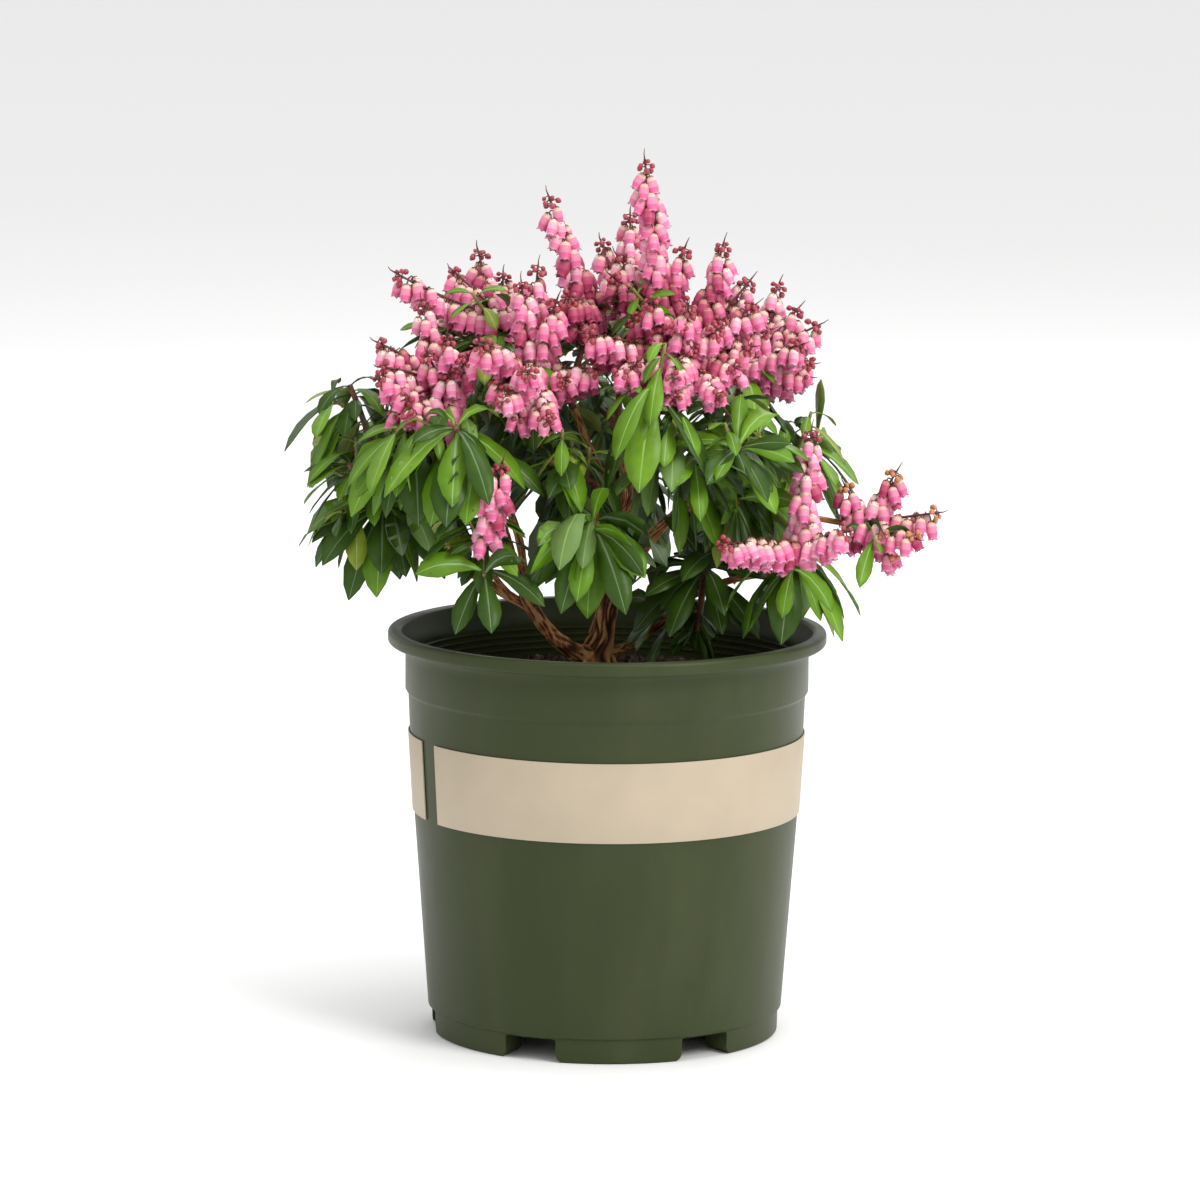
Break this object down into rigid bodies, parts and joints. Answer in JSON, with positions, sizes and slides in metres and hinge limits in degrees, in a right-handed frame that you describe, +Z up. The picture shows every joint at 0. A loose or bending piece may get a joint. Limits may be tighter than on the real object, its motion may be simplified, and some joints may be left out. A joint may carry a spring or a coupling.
{
  "type": "potted pieris shrub",
  "caption": "Flowering lily-of-the-valley shrub with hanging pink bells, in a round moulded nursery pot.",
  "frame": {"origin": "centre of the pot's flat underside, on the ground it stands on", "axes": "+Z up along the pot's axis; -Y towards the front, where the pictured side is; +X to the right"},
  "size_m": [0.2568, 0.1878, 0.3398],
  "materials": {
    "pot_plastic": "satin dark olive green moulded plastic",
    "band_print": "plain cream printed band",
    "bark_mix": "dark bark potting mix",
    "bark": "furrowed orange-brown bark",
    "foliage": "glossy evergreen leaves on reddish twigs"
  },
  "bodies": {
    "root": {"bough_back": "bark", "bough_back_left": "bark", "bough_back_right": "bark", "bough_far_left": "bark", "bough_far_right": "bark", "bough_front": "bark", "bough_front_up": "bark", "bough_left": "bark", "bough_left_back": "bark", "bough_left_spur": "bark", "bough_left_top": "bark", "bough_right": "bark", "bough_right_low": "bark", "bough_right_up": "bark", "bough_top": "bark", "bough_top_left": "bark", "foliage_back": "foliage", "foliage_back_left": "foliage", "foliage_back_right": "foliage", "foliage_crown": "foliage", "foliage_far_left": "foliage", "foliage_far_right": "foliage", "foliage_front": "foliage", "foliage_left_back": "foliage", "foliage_left_front": "foliage", "foliage_left_low": "foliage", "foliage_left_top": "foliage", "foliage_low_front": "foliage", "foliage_right": "foliage", "foliage_right_low": "foliage", "foliage_right_up": "foliage", "foliage_top_left": "foliage", "label_band": "band_print", "pot": "pot_plastic", "soil": "bark_mix", "trunk": "bark"}
  },
  "joints": []
}
